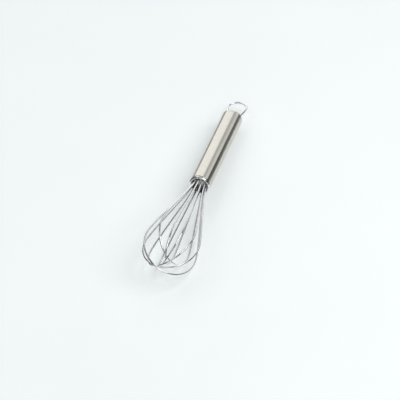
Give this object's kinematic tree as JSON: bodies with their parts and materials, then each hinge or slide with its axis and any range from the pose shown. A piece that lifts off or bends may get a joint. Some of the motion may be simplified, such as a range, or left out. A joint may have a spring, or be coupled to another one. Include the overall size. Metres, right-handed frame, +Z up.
{
  "type": "balloon whisk",
  "caption": "Balloon whisk: a straight tubular steel handle, nested wire loops crossing at the tip, and a wire hanging loop.",
  "frame": {"origin": "on the surface that the whisk rests on, under the centre of its outer box", "axes": "+Z up; +X along the whisk, from the handle to the tip of the cage; the whisk's own axis is pitched up by 3.3 degrees towards +X, because the cage is wider than the handle"},
  "size_m": [0.2666, 0.0504, 0.0414],
  "materials": {
    "satin_steel": "satin",
    "polished_steel": "polished",
    "bright_wire": "polished",
    "plain_steel": "as rolled",
    "grey_plastic": "moulded",
    "cast_resin": "cast"
  },
  "bodies": {
    "root": {"handle_tube": "satin_steel", "mouth_ring": "polished_steel", "end_cap": "satin_steel", "wire_holder": "grey_plastic", "core_pin": "plain_steel", "resin_plug": "cast_resin", "wire_loop_1": "bright_wire", "wire_loop_2": "bright_wire", "wire_loop_3": "bright_wire", "wire_loop_4": "bright_wire", "wire_loop_5": "bright_wire", "wire_loop_6": "bright_wire", "hanging_loop": "bright_wire", "loop_retainer": "plain_steel"}
  },
  "joints": []
}
